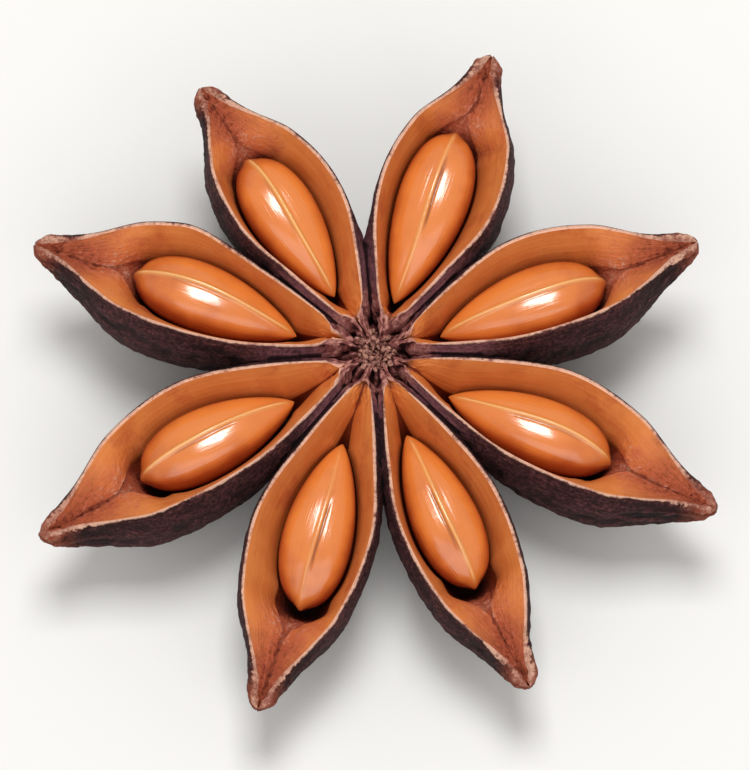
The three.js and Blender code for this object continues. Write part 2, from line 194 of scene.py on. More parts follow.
class Field:
    """A value that a node tree works out at every point, so that sums of nodes read like ordinary sums."""

    def __init__(self, tree, socket):
        self.tree = tree
        self.socket = socket

    def __add__(self, other):
        return reckon("ADD", self, other)

    def __radd__(self, other):
        return reckon("ADD", other, self)

    def __sub__(self, other):
        return reckon("SUBTRACT", self, other)

    def __rsub__(self, other):
        return reckon("SUBTRACT", other, self)

    def __mul__(self, other):
        return reckon("MULTIPLY", self, other)

    def __rmul__(self, other):
        return reckon("MULTIPLY", other, self)

    def __truediv__(self, other):
        return reckon("DIVIDE", self, other)

    def __pow__(self, other):
        return reckon("POWER", self, other)


def feed(socket, value):
    """Links a field to a socket, or sets the socket to a plain value."""
    if isinstance(value, Field):
        value.tree.links.new(value.socket, socket)
    else:
        socket.default_value = value


def reckon(operation, *values):
    """One Math node."""
    tree = next(value.tree for value in values if isinstance(value, Field))
    step = tree.nodes.new("ShaderNodeMath")
    step.operation = operation
    for socket, value in zip(step.inputs, values):
        feed(socket, value)
    return Field(tree, step.outputs[0])


def sine(x):
    return reckon("SINE", x)


def cosine(x):
    return reckon("COSINE", x)


def least(a, b):
    return reckon("MINIMUM", a, b)


def most(a, b):
    return reckon("MAXIMUM", a, b)


def held(x, low, high):
    return least(most(x, low), high)


def over(x, stretch):
    """From 0 to 1, smoothly, while x runs over a stretch."""
    ramp = x.tree.nodes.new("ShaderNodeMapRange")
    ramp.interpolation_type = "SMOOTHSTEP"
    feed(ramp.inputs["Value"], x)
    feed(ramp.inputs["From Min"], stretch[0])
    feed(ramp.inputs["From Max"], stretch[1])
    return Field(x.tree, ramp.outputs["Result"])


def profile(x, points):
    """A smooth curve through (place, height) points, level beyond its two ends."""
    last = len(points) - 1

    def slope(i):
        (x0, y0), (x1, y1) = points[max(i - 1, 0)], points[min(i + 1, last)]
        return (y1 - y0) / (x1 - x0)

    height = points[0][1]
    for i in range(last):
        (x0, y0), (x1, y1) = points[i], points[i + 1]
        width = x1 - x0
        s = held((x - x0) / width, 0, 1)
        rest = 1 - s
        rise = s * s * (3 - 2 * s) * (y1 - y0)
        height = height + rise + s * rest * rest * (slope(i) * width) - s * s * rest * (slope(i + 1) * width)
    return height


def soft_least(a, b, ease):
    """The smaller of two lengths, rounded where they cross."""
    share = held(0.5 + (b - a) / (2 * ease), 0, 1)
    return b + (a - b) * share - ease * share * (1 - share)


def vector(x, y, z):
    """Three numbers as one vector."""
    tree = next(value.tree for value in (x, y, z) if isinstance(value, Field))
    joined = tree.nodes.new("ShaderNodeCombineXYZ")
    for socket, value in zip(joined.inputs, (x, y, z)):
        feed(socket, value)
    return Field(tree, joined.outputs[0])


def parts_of(field):
    """A vector's three numbers."""
    split = field.tree.nodes.new("ShaderNodeSeparateXYZ")
    feed(split.inputs[0], field)
    return [Field(field.tree, socket) for socket in split.outputs]


def noise(place, grain, detail=3, roughness=0.5):
    """Smooth random relief round 0, from about -1 to 1, with lumps about as large as the grain."""
    cloud = place.tree.nodes.new("ShaderNodeTexNoise")
    feed(cloud.inputs["Vector"], place)
    feed(cloud.inputs["Scale"], 1 / grain)
    feed(cloud.inputs["Detail"], detail)
    feed(cloud.inputs["Roughness"], roughness)
    return (Field(place.tree, cloud.outputs[0]) - 0.5) * 2


def new_tree(name, sizes):
    """An empty Geometry Nodes tree with one mesh out, and its named inputs as fields."""
    tree = bpy.data.node_groups.new(name, "GeometryNodeTree")
    tree.interface.new_socket("Mesh", in_out="OUTPUT", socket_type="NodeSocketGeometry")
    for size in sizes:
        tree.interface.new_socket(size, in_out="INPUT", socket_type="NodeSocketFloat")
    given = tree.nodes.new("NodeGroupInput")
    return tree, {size: Field(tree, given.outputs[size]) for size in sizes}


def after(geometry, kind, inputs, **settings):
    """The geometry as one more node leaves it."""
    step = geometry.tree.nodes.new(kind)
    for setting, value in settings.items():
        setattr(step, setting, value)
    feed(step.inputs[0], geometry)
    for name, value in inputs.items():
        feed(step.inputs[name], value)
    return Field(geometry.tree, step.outputs[0])


def marked(geometry, name, value):
    """The geometry with a vector kept at each of its points under a name."""
    return after(geometry, "GeometryNodeStoreNamedAttribute", {"Name": name, "Value": value},
                 data_type="FLOAT_VECTOR", domain="POINT")


def net(tree, rows, steps):
    """A net of points, and each point's row and step in it."""
    grid = tree.nodes.new("GeometryNodeMeshGrid")
    feed(grid.inputs["Vertices X"], rows)
    feed(grid.inputs["Vertices Y"], steps)
    index = Field(tree, tree.nodes.new("GeometryNodeInputIndex").outputs[0])
    row = reckon("FLOOR", (index + 0.5) / steps)
    return Field(tree, grid.outputs["Mesh"]), row, index - row * steps


def closed(geometry):
    """A net whose seam and poles are closed."""
    return after(geometry, "GeometryNodeMergeByDistance", {"Distance": SEAM})


def mark_in(tree, name):
    """The vector kept at each point under a name."""
    if tree.bl_idname == "GeometryNodeTree":
        reader = tree.nodes.new("GeometryNodeInputNamedAttribute")
        reader.data_type = "FLOAT_VECTOR"
        reader.inputs["Name"].default_value = name
        return Field(tree, reader.outputs["Attribute"])
    reader = tree.nodes.new("ShaderNodeAttribute")
    reader.attribute_name = name
    return Field(tree, reader.outputs["Vector"])


def reading(tree, kind):
    """What an input node gives, such as each point's Position or Normal."""
    return Field(tree, tree.nodes.new(f"GeometryNodeInput{kind}").outputs[0])


def stretched(direction, length):
    """A vector made longer or shorter by a number."""
    scale = direction.tree.nodes.new("ShaderNodeVectorMath")
    scale.operation = "SCALE"
    feed(scale.inputs[0], direction)
    feed(scale.inputs["Scale"], length)
    return Field(direction.tree, scale.outputs[0])


def raised(geometry, height):
    """The geometry with each point moved out of the surface by a height."""
    lift = stretched(reading(geometry.tree, "Normal"), height)
    return after(geometry, "GeometryNodeSetPosition", {"Offset": lift})


def finished(geometry, material):
    """Ends a tree: its geometry becomes real mesh of one material."""
    tree = geometry.tree
    geometry = after(geometry, "GeometryNodeRealizeInstances", {})
    geometry = after(geometry, "GeometryNodeSetMaterial", {"Material": material})
    feed(tree.nodes.new("NodeGroupOutput").inputs[0], geometry)
    return tree


def grown(name, tree, sizes):
    """The plain mesh that a tree makes with these sizes, as an object."""
    holder = bpy.data.objects.new(name, bpy.data.meshes.new(name))
    bpy.context.scene.collection.objects.link(holder)
    modifier = holder.modifiers.new(name, "NODES")
    modifier.node_group = tree
    for item in tree.interface.items_tree:
        if item.in_out == "INPUT" and item.name in sizes:
            size = sizes[item.name]
            modifier[item.identifier] = float(size) if isinstance(size, int) else size
    graph = bpy.context.evaluated_depsgraph_get()
    shape = holder.evaluated_get(graph)
    mesh = bpy.data.meshes.new_from_object(shape, preserve_all_data_layers=True, depsgraph=graph)
    holder.modifiers.clear()
    holder.data = mesh
    mesh.name = name
    return holder


husk_material = bpy.data.materials.new("husk")


def lip_lines(carpel, t):
    """The height of the lips at a place along the carpel, and the part of it that is their arch."""
    arch = sine(math.pi * t ** LIP_LEAN) * LIP_ARCH
    tilt = reckon("TANGENT", carpel["rise"] * math.radians(1)) * carpel["reach"] * t
    return arch + tilt + carpel["hook"] * over(t, BEAK_HOOKS), arch


def in_pod(carpel, t, y, z, lip):
    """The point at a place along the carpel, y left of its middle line and z above the column's top."""
    turn = carpel["roll"] * math.radians(1) * over(t, ROLL_COMES)
    pivot = lip - BED_DEPTH
    side = y * cosine(turn) - (z - pivot) * sine(turn) + carpel["bow"] * sine(math.pi * t)
    up = pivot + y * sine(turn) + (z - pivot) * cosine(turn)
    out = carpel["reach"] * t
    azimuth = carpel["azimuth"] * math.radians(1)
    east = out * cosine(azimuth) - side * sine(azimuth)
    north = out * sine(azimuth) + side * cosine(azimuth)
    return vector(east + COLUMN_TOP.x, north + COLUMN_TOP.y, up + COLUMN_TOP.z)


def room_beside(carpel, t, side):
    """From the carpel's middle line to the plane halfway to the next carpel."""
    turn = carpel["roll"] * math.radians(1) * over(t, ROLL_COMES)
    room = carpel["right_room"] + (carpel["left_room"] - carpel["right_room"]) * (side + 1) / 2
    shift = carpel["bow"] * sine(math.pi * t) - BED_DEPTH * sine(turn)
    return carpel["reach"] * t * reckon("TANGENT", room * math.radians(1)) - side * shift


def half_gape(carpel, t, room, tip):
    """From the carpel's middle line to the outside of one lip, no further than the next carpel's lip."""
    opening = most(sine((t - LIP_START) * (math.pi / (1 - LIP_START))), 0)
    drawn_in = 1 - BEAK_NIP * over(t, BEAK_DRAWS_IN)
    narrow = ROOT_HALF_WIDTH + (BEAK_HALF_WIDTH - ROOT_HALF_WIDTH) * t
    free = narrow + (carpel["gape"] / 2 - narrow) * opening * drawn_in
    return most(soft_least(free, room - CLEFT / 2, CLEFT_EASE), ROOT_HALF_WIDTH) * tip


def seed_taper(s, point=SEED_POINT, blunt=SEED_BLUNT):
    """How much of its full width a seed has at a share of its own length."""
    widest = point / (point + blunt)
    full = widest ** point * (1 - widest) ** blunt
    return most(s, 0) ** point * most(1 - s, 0) ** blunt / full


def carpel_tree():
    """The tree for one carpel's shell. Each cut across it is a ring: down and up the bark, over one lip,
    through the hollow and back over the other lip."""
    tree, carpel = new_tree("carpel", list(CARPELS[0]))
    ring = WALL_STEPS + LIP_STEPS + HOLLOW_STEPS + LIP_STEPS
    mesh, row, step = net(tree, STATIONS + 2, ring + 1)

    # The place along the carpel. The first and last rows only close the shell's two ends.
    u = held((row - 1) / (STATIONS - 1), 0, 1)
    t = u - sine(u * (2 * math.pi)) * (STATIONS_CROWDED / (2 * math.pi))
    out = t * carpel["reach"]
    shut = most(1 - row, 0) + most(row - STATIONS, 0)

    # The place round the ring: across goes from 1 at the left lip through 0 at the bottom to -1 at the right
    # one and back, and inside is 0 on the bark and 1 in the hollow.
    first_lip = WALL_STEPS
    hollow = WALL_STEPS + LIP_STEPS
    second_lip = hollow + HOLLOW_STEPS
    bark_share = held(step / WALL_STEPS, 0, 1)
    hollow_share = held((step - hollow) / HOLLOW_STEPS, 0, 1)
    across = 1 - 2 * bark_share + 2 * hollow_share
    inside = held((step - first_lip) / LIP_STEPS, 0, 1) - held((step - second_lip) / LIP_STEPS, 0, 1)
    side = reckon("SIGN", across + LEFT_NUDGE)
    share = held(1 - reckon("ABSOLUTE", across), 0, 1)

    lip, arch = lip_lines(carpel, t)
    keel = profile(t, KEEL_LINE) + over(t, KEEL_FOLLOWS_LIPS) * (lip - arch)
    past = most((t - (1 - TIP_ROUNDING)) / TIP_ROUNDING, 0)
    tip = reckon("SQRT", 1 - (1 - TIP_LEFT) * past * past)
    room = room_beside(carpel, t, side)
    half = half_gape(carpel, t, room, tip)
    depth = (lip - keel) * tip

    # The bark: from upright at the lip to the narrow keel, swollen between them.
    angle = share * (math.pi / 2)
    belly = BELLY * over(t, BELLY_COMES) * (1 - over(t, BELLY_FADES))
    by_root = over(t, ROOT_COMES) * (1 - over(t, ROOT_FADES))
    swell = (belly + ROOT_SWELL * by_root) * most(sine(math.pi * share ** SWELL_PLACE), 0) ** SWELL_POWER
    swell = swell + ROOT_WEB * by_root * over(share, ROOT_WEB_BELOW) * (1 - share)
    bark_y = half * most(cosine(angle), 0) ** WALL_POWER + swell
    bark_y = soft_least(bark_y, most(room + WALLS_MEET, ROOT_HALF_WIDTH), WALLS_EASE)
    bark_z = lip - depth * most(sine(angle), 0) ** DEPTH_POWER

    # The hollow: a flare from the lip to the bed's widest line, then the round bed. Past the seed the bed
    # narrows to the groove of the beak.
    thickness = least((1 - BED_SHARE) * half, LIP_THICKNESS) + BEAK_WALL * over(t, BEAK_CLOSES)
    thickness = thickness + ROOT_WALL * (1 - over(out - carpel["parts"], ROOT_OPENS))
    mouth = most((1 - BED_SHARE) * half, half - thickness)
    seed_end = carpel["seed_from"] + carpel["seed_length"]
    outer = seed_end / carpel["reach"]
    in_seed = held((out - carpel["seed_from"]) / carpel["seed_length"], *BED_KEEPS)
    inner = carpel["seed_from"] / carpel["reach"]
    past_gap = t - outer - carpel["gap"] / carpel["reach"]
    groove = 1 - GROOVE_NARROWS * most(over(past_gap, GROOVE_STRETCH), 1 - over(t - inner, GROOVE_AT_ROOT))
    wide = carpel["seed_width"] / 2 * seed_taper(in_seed) + SEED_CLEARANCE
    bed = least(least(BED_SHARE * mouth, wide), most(room - WALLS_EASE, ROOT_HALF_WIDTH / 2)) * groove
    start = profile((out - HOLLOW_FROM) / (carpel["seed_from"] - HOLLOW_FROM), HOLLOW_START)
    deep = least(start, profile(past_gap / (1 - outer), HOLLOW_RISE))
    down = held(share / BED_AT, 0, 1)
    bend = held(share - BED_AT, 0, 1 - BED_AT) * (math.pi / 2 / (1 - BED_AT))
    hollow_y = bed * cosine(bend) + (mouth - bed) * most(1 - down, 0) ** FLARE_POWER
    aside = carpel["seed_in"] + (carpel["seed_out"] - carpel["seed_in"]) * in_seed
    aside = aside * over(out / carpel["seed_from"], BED_TURNS) * (1 - over(t - outer, BED_TURNS_BACK))
    hollow_z = lip - deep * (BED_DEPTH * down + (SEED_HEIGHT / 2 + SEED_CLEARANCE) * groove * sine(bend))

    # Over a lip the ring goes from the one to the other in a low arch, which is a little ragged.
    crown = sine(math.pi * inside)
    grain = vector(out, across * GRAIN_ROUND, carpel["number"] * GRAIN_APART)
    rag = noise(grain, LIP_RAG_GRAIN, detail=3, roughness=0.65)
    y = bark_y + (hollow_y - bark_y) * inside
    z = bark_z + (hollow_z - bark_z) * inside + crown * ((half - mouth) * LIP_CROWN + rag * LIP_RAG)
    y = (side * y + aside * down * inside) * (1 - shut)
    z = z + (lip - depth / 2 - z) * shut
    placed = in_pod(carpel, t, y, z, lip)
    mesh = after(mesh, "GeometryNodeSetPosition", {"Position": placed})
    mesh = marked(mesh, "part", vector(t, share, inside))
    mesh = marked(mesh, "grain", grain)
    mesh = marked(mesh, "rim", vector((1 - inside) * (half - mouth), (lip - z) * inside, 0))
    mesh = closed(mesh)

    # The relief: wrinkles and a fibrous keel on the bark, knobs on the beak's tip, and a rough groove.
    t, share, inside = parts_of(mark_in(tree, "part"))
    along, across, shift = parts_of(mark_in(tree, "grain"))
    spot = reading(tree, "Position")
    lengthwise = vector(along * BARK_ALONG, across, shift)
    wrinkles = noise(lengthwise, BARK_WRINKLE, detail=4, roughness=0.6)
    creases = reckon("ABSOLUTE", noise(lengthwise, CREASE_GRAIN, detail=2))
    creases = held(1 - creases * CREASE_SHARPNESS, -1, 1)
    pebbles = noise(spot, PEBBLE_GRAIN, detail=2)
    bark = (1 - inside) * over(share, BARK_FROM_LIP) * over(t, BARK_FROM_ROOT)
    relief = bark * (wrinkles * BARK_RELIEF + creases * CREASE_DEPTH + pebbles * PEBBLE_HEIGHT)
    tip = over(t, TIP_ROUGH)
    ridge = (1 - inside) * over(share, KEEL_RIDGE_WIDENS) * over(t, KEEL_RIDGE_COMES)
    ridge = ridge * (1 - tip) * (1 + wrinkles) * KEEL_RIDGE
    knobs = noise(spot, TIP_KNOB_GRAIN, detail=3) * TIP_KNOBS * tip * (1 - over(t, TIP_SMOOTH))
    past_seed = over(along, [seed_end + distance for distance in GROOVE_PAST_SEED])
    torn = inside * most(over(share, GROOVE_BELOW_LIP) * past_seed, tip)
    rough = noise(spot, GROOVE_GRAIN, detail=3, roughness=0.7) * GROOVE_ROUGHNESS * torn
    satin = noise(vector(along * HOLLOW_ALONG, across, shift), HOLLOW_GRAIN) * HOLLOW_RELIEF * inside
    mesh = raised(mesh, relief + ridge + knobs + rough + satin)
    return finished(mesh, husk_material)


shells = bpy.data.collections.new("shells")
bpy.context.scene.collection.children.link(shells)
tree = carpel_tree()
for carpel in CARPELS:
    shell = grown(f"carpel_{carpel['number']}", tree, carpel)
    bpy.context.scene.collection.objects.unlink(shell)
    shells.objects.link(shell)


# Column. The carpels stand round a short knobbly column, with radial folds where their walls have grown
# together, and the stalk's broken stub below. It is one turned net, in the same millimetres.
COLUMN_RADIUS = 1.4
CORE_RADIUS = 3.1
STALK_RADIUS = 1.05
COLUMN_OUTLINE = [
    (0, -5.9), (STALK_RADIUS * 0.8, -5.9), (STALK_RADIUS, -5.6), (STALK_RADIUS, -5.1),
    (CORE_RADIUS * 0.75, -4.5), (CORE_RADIUS, -3.4), (CORE_RADIUS * 0.85, -1.6),
    (COLUMN_RADIUS * 1.25, -0.5), (COLUMN_RADIUS * 0.8, 0), (0, 0.12),
]
# Places up the column are shares of its rings, from the stub's end to the middle of the top.
COLUMN_SMOOTH_BELOW = (0.02, 0.1)
COLUMN_SMOOTH_ABOVE = (0.93, 0.99)
COLUMN_FOLDS = 2.6
COLUMN_FOLD_DEPTH = 0.12
COLUMN_FOLDS_UPWARD = 0.25  # how fast a fold changes upwards, next to how fast it does round the column
COLUMN_TOP_UNEVEN = (0.6, 0.8)
# The column's sides below its top count as deep in a cleft, so that the husk's colours paint shade on them.
COLUMN_CLEFT_SHADE_ENDS = (0.68, 0.8)
COLUMN_CLEFT_SHADE = 0.5
COLUMN_RINGS = 60
COLUMN_SIDES = 96


def column_tree():
    """The tree for the column."""
    tree, _ = new_tree("column", [])
    mesh, row, step = net(tree, COLUMN_RINGS, COLUMN_SIDES + 1)
    u = row / (COLUMN_RINGS - 1)
    last = len(COLUMN_OUTLINE) - 1
    radius = profile(u, [(i / last, r) for i, (r, _) in enumerate(COLUMN_OUTLINE)])
    height = profile(u, [(i / last, z) for i, (_, z) in enumerate(COLUMN_OUTLINE)])
    turn = step * (-2 * math.pi / COLUMN_SIDES)
    pole = 1 - over(u, COLUMN_SMOOTH_BELOW) * (1 - over(u, COLUMN_SMOOTH_ABOVE))
    around = vector(cosine(turn) * COLUMN_FOLDS, sine(turn) * COLUMN_FOLDS, height * COLUMN_FOLDS_UPWARD)
    folds = noise(around, 1.0, detail=3)
    radius = most(radius, 0) * (1 + folds * COLUMN_FOLD_DEPTH * (1 - pole))
    height = height + folds * COLUMN_FOLD_DEPTH * over(u, COLUMN_TOP_UNEVEN) * (1 - pole)
    east = radius * cosine(turn)
    north = radius * sine(turn)
    placed = vector(east + COLUMN_TOP.x, north + COLUMN_TOP.y, height + COLUMN_TOP.z)
    mesh = after(mesh, "GeometryNodeSetPosition", {"Position": placed})
    # The share paints shade on the column's sides.
    mesh = marked(mesh, "part", vector(u * 0, COLUMN_CLEFT_SHADE * (1 - over(u, COLUMN_CLEFT_SHADE_ENDS)), 0))
    mesh = marked(mesh, "grain", vector(radius, turn, height))
    mesh = marked(mesh, "rim", vector(u * 0 + CORE_RADIUS, 0, 0))
    return finished(closed(mesh), husk_material)


column = grown("column", column_tree(), {})
bpy.context.scene.collection.objects.unlink(column)
shells.objects.link(column)


# Husk. Carpels and column are one piece, as they grew, with a heap of small granules on the column's top
# where the flower's parts fell off. The keels are flat where the pod rests on them.
GRANULE_COUNT = 46
GRANULE_RADIUS = (0.05, 0.25)
GRANULE_REACH = 1.2
GRANULE_START = 0.3  # how far along its spiral the first one is, counted in granules
GRANULE_LIFT = 0.12
GRANULE_RISE = 0.2  # how much higher the heap is at its rim
GRANULE_UNEVEN = 0.2
UNEVEN_STEP = (1.7, 0.3)  # from one granule to the next, in the noise that makes the heap uneven
UNEVEN_LAYER = 4.0
GRANULE_FACETS = 3
GRANULE_SIZE_SEED = 5
GRANULE_TURN_SEED = 8
GOLDEN_ANGLE = math.radians(137.5)
LEAST_POINTS = 2000  # a closed body with fewer points than this isn't part of the husk
# The crumpled top: radial folds and a fine crumple, within a distance from the axis and above a height.
FOLDS = 6
FOLDS_OUTWARD = 0.8  # how fast a fold changes outwards, next to how fast it does round the column
FOLDS_COME = (0.7, 1.4)
FOLD_HEIGHT = 0.3
CRUMPLE_HEIGHT = 0.2
CRUMPLE_GRAIN = 0.36
CRUMPLE_ENDS = (2.0, 4.0)
CRUMPLE_ABOVE = (4.0, 6.0)
CREASE = math.radians(50)  # an edge sharper than this stays sharp
CREST_BLUR = 6
CREST_HEIGHT = 0.05


def drawn(tree, low, high, seed):
    """A random vector for each point, from one vector to another."""
    draw = tree.nodes.new("FunctionNodeRandomValue")
    draw.data_type = "FLOAT_VECTOR"
    feed(draw.inputs[0], low)
    feed(draw.inputs[1], high)
    draw.inputs["Seed"].default_value = seed
    return Field(tree, draw.outputs[0])


def below(x, bound):
    """Whether a value is less than a bound."""
    test = x.tree.nodes.new("FunctionNodeCompare")
    test.operation = "LESS_THAN"
    feed(test.inputs[0], x)
    feed(test.inputs[1], bound)
    return Field(x.tree, test.outputs[0])


def husk_tree():
    """The tree that joins the shells and the granules into one closed surface, and sizes it in metres."""
    tree, sizes = new_tree("husk", ["least radius", "most radius", "reach", "count"])
    tree.interface.new_socket("shells", in_out="INPUT", socket_type="NodeSocketCollection")
    given = tree.nodes.new("NodeGroupInput")
    taken = tree.nodes.new("GeometryNodeCollectionInfo")
    taken.inputs["Separate Children"].default_value = True
    tree.links.new(given.outputs["shells"], taken.inputs["Collection"])
    shells_in = Field(tree, taken.outputs[0])

    # Granules on a spiral of equal spacing, each with a size and a turn of its own.
    dots = tree.nodes.new("GeometryNodeMeshLine")
    feed(dots.inputs["Count"], sizes["count"])
    line = Field(tree, dots.outputs["Mesh"])
    index = Field(tree, tree.nodes.new("GeometryNodeInputIndex").outputs[0])
    out = sizes["reach"] * reckon("SQRT", (index + GRANULE_START) / sizes["count"])
    turn = index * GOLDEN_ANGLE
    east = out * cosine(turn) + COLUMN_TOP.x
    north = out * sine(turn) + COLUMN_TOP.y
    rise = out / sizes["reach"] * GRANULE_RISE
    uneven = noise(vector(index * UNEVEN_STEP[0], index * UNEVEN_STEP[1], UNEVEN_LAYER), 1.0)
    up = COLUMN_TOP.z + GRANULE_LIFT + rise + uneven * GRANULE_UNEVEN
    spots = after(line, "GeometryNodeSetPosition", {"Position": vector(east, north, up)})
    ball = tree.nodes.new("GeometryNodeMeshIcoSphere")
    ball.inputs["Subdivisions"].default_value = GRANULE_FACETS
    smallest = vector(*[sizes["least radius"]] * 3)
    largest = vector(*[sizes["most radius"]] * 3)
    granules = after(spots, "GeometryNodeInstanceOnPoints", {
        "Instance": Field(tree, ball.outputs["Mesh"]),
        "Scale": drawn(tree, smallest, largest, GRANULE_SIZE_SEED),
        "Rotation": drawn(tree, [0] * 3, [2 * math.pi] * 3, GRANULE_TURN_SEED),
    })

    together = tree.nodes.new("GeometryNodeJoinGeometry")
    tree.links.new(shells_in.socket, together.inputs[0])
    tree.links.new(granules.socket, together.inputs[0])
    union = tree.nodes.new("GeometryNodeMeshBoolean")
    union.operation = "UNION"
    union.solver = "MANIFOLD"
    tree.links.new(together.outputs[0], union.inputs["Mesh"])
    whole = Field(tree, union.outputs["Mesh"])

    # Crumbs that hang on nothing and pockets shut between the walls are taken away.
    island = tree.nodes.new("GeometryNodeInputMeshIsland")
    points = tree.nodes.new("GeometryNodeAccumulateField")
    points.domain = "POINT"
    tree.links.new(island.outputs["Island Index"], points.inputs["Group ID"])
    small = below(Field(tree, points.outputs["Total"]), LEAST_POINTS)
    whole = after(whole, "GeometryNodeDeleteGeometry", {"Selection": small})

    # The join takes the marks from its cut edges, so they come back from the nearest shell.
    loose = after(Field(tree, together.outputs[0]), "GeometryNodeRealizeInstances", {})
    for name in ("part", "grain", "rim"):
        nearest = after(loose, "GeometryNodeSampleNearestSurface", {"Value": mark_in(tree, name)},
                        data_type="FLOAT_VECTOR")
        whole = marked(whole, name, nearest)

    # Crumpled round the column's top, and flat where the keels rest.
    spot = reading(tree, "Position")
    x, y, z = parts_of(spot)
    east = x - COLUMN_TOP.x
    north = y - COLUMN_TOP.y
    from_axis = reckon("SQRT", east ** 2 + north ** 2)
    middle = (1 - over(from_axis, CRUMPLE_ENDS)) * over(z, CRUMPLE_ABOVE)
    around = vector(east / from_axis * FOLDS, north / from_axis * FOLDS, from_axis * FOLDS_OUTWARD)
    folds = noise(around, 1.0, detail=2) * over(from_axis, FOLDS_COME) * FOLD_HEIGHT
    crumple = noise(spot, CRUMPLE_GRAIN, detail=4, roughness=0.7) * CRUMPLE_HEIGHT
    whole = raised(whole, (folds + crumple) * middle)
    whole = after(whole, "GeometryNodeSetPosition", {"Position": vector(x, y, most(z, 0))})

    # How far each point stands out of the surface round it: above 0 on a bump, below 0 in a crease.
    blurred = tree.nodes.new("GeometryNodeBlurAttribute")
    blurred.data_type = "FLOAT_VECTOR"
    feed(blurred.inputs["Value"], spot)
    blurred.inputs["Iterations"].default_value = CREST_BLUR
    apart = tree.nodes.new("ShaderNodeVectorMath")
    apart.operation = "SUBTRACT"
    feed(apart.inputs[0], spot)
    feed(apart.inputs[1], Field(tree, blurred.outputs["Value"]))
    outward = tree.nodes.new("ShaderNodeVectorMath")
    outward.operation = "DOT_PRODUCT"
    feed(outward.inputs[0], Field(tree, apart.outputs[0]))
    feed(outward.inputs[1], reading(tree, "Normal"))
    crest = Field(tree, outward.outputs["Value"]) / CREST_HEIGHT
    whole = marked(whole, "crest", vector(crest, 0, 0))
    smooth = below(reading(tree, "MeshEdgeAngle"), CREASE)
    whole = after(whole, "GeometryNodeSetShadeSmooth", {"Shade Smooth": smooth}, domain="EDGE")
    whole = after(whole, "GeometryNodeTransform", {"Scale": (MM, MM, MM)})
    return finished(whole, husk_material)


husk = grown("star_husk", husk_tree(), {
    "least radius": GRANULE_RADIUS[0], "most radius": GRANULE_RADIUS[1], "reach": GRANULE_REACH,
    "count": GRANULE_COUNT, "shells": shells,
})
for shell in list(shells.objects):
    bpy.data.objects.remove(shell)
bpy.data.collections.remove(shells)


def linear(red, green, blue):
    """A colour given as it looks, 0 to 255, as the light that it gives back."""
    shares = [channel / 255 for channel in (red, green, blue)]
    return [((c + 0.055) / 1.055) ** 2.4 if c > 0.04 else c / 12.92 for c in shares] + [1]


def mixed(share, one, other):
    """One colour, then the other as the share goes from 0 to 1."""
    step = share.tree.nodes.new("ShaderNodeMix")
    step.data_type = "RGBA"
    feed(step.inputs["Factor"], share)
    feed(step.inputs[6], one)
    feed(step.inputs[7], other)
    return Field(share.tree, step.outputs[2])


def shaded(relief, colours, stretches):
    """The first colour as painted shade in creases, the second past the first stretch of relief, the third as
    a painted highlight past the other.
    """
    deep, middle, crest = colours
    rising, cresting = stretches
    return mixed(over(relief, cresting), mixed(over(relief, rising), deep, middle), crest)


def surface(material):
    """A material's tree, its shader, and the object's own coordinates in millimetres."""
    material.use_nodes = True
    tree = material.node_tree
    shader = tree.nodes["Principled BSDF"]
    own = tree.nodes.new("ShaderNodeTexCoord")
    return tree, shader, stretched(Field(tree, own.outputs["Object"]), 1 / MM)


def bumped(shader, height, distance):
    """Puts a height onto a shader as bump, with the depth that a height of 1 stands for."""
    bump = height.tree.nodes.new("ShaderNodeBump")
    bump.inputs["Distance"].default_value = distance
    bump.inputs["Strength"].default_value = 1.0
    feed(bump.inputs["Height"], height)
    height.tree.links.new(bump.outputs[0], shader.inputs["Normal"])


# The husk's colours and their patterns. A pair is the stretch of relief, of a place along the carpel or of
# the distance from the axis in millimetres over which one colour goes over to the next.
FINE_PEBBLES = 0.24
PATCHES = 2.2
FIBRES = 0.6
FIBRES_ALONG = 0.35
FIBRES_ROUND = 3
# The bark's first colour is painted shade in its creases, its last a painted highlight on its crests.
BARK_COLOURS = (linear(12, 3, 3), linear(50, 16, 18), linear(132, 74, 75))
BARK_SHADES = ((-0.6, 0.3), (0.2, 1.3))
BARK_REDDENS = (0.9, 0.99)
# The web between the walls by the column, dark as painted shade in its creases, with a painted highlight on
# its crests.
WEB = linear(54, 22, 31)
WEB_HIGHLIGHT = linear(138, 84, 90)
WEB_SHADES = (-0.7, 0.9)
WEB_FADES = (4.2, 7.5)
# By the column, with painted shade in clefts and creases and painted highlights on crests.
ROOT_COLOURS = (linear(52, 15, 17), linear(132, 68, 64), linear(218, 150, 138))
ROOT_SHADES = ((-0.6, 0.2), (0.25, 1.4))
ROOT_PINK_FADES = (1.8, 3.4)
ROOT_ENDS = (2.2, 3.3)
# Painted shade in the low places round the axis.
CORE_SHADE = linear(58, 26, 20)
CORE_SHADES = (-0.2, 0.9)
CORE_FADES = (0.6, 1.5)
GRANULE = linear(102, 51, 43)
# A painted highlight on the granules' crests.
GRANULE_HIGHLIGHT = linear(228, 168, 148)
GRANULE_SHADES = (-0.5, 1.3)
GRANULES_END = (0.01, 0.04)  # they have no grain, so theirs is 0
# The walls inside.
STREAKS_ALONG = 0.12
STREAKS_ROUND = 2
BLUSH = 1.6
WALL = linear(196, 104, 48)
WALL_PALE = linear(222, 138, 74)
WALL_SHADES = (-0.9, 0.5)
WALL_BLUSH = linear(174, 76, 46)
WALL_BLOTCHES = 2.6
WALL_BLUSHES = (0.0, 0.5)
WALL_SPECK = linear(122, 54, 30)
WALL_SPECKLES = (0.3, 1.0)
BED_SHADE = linear(124, 42, 22)
BED_SHADE_COMES = (0.47, 0.6)
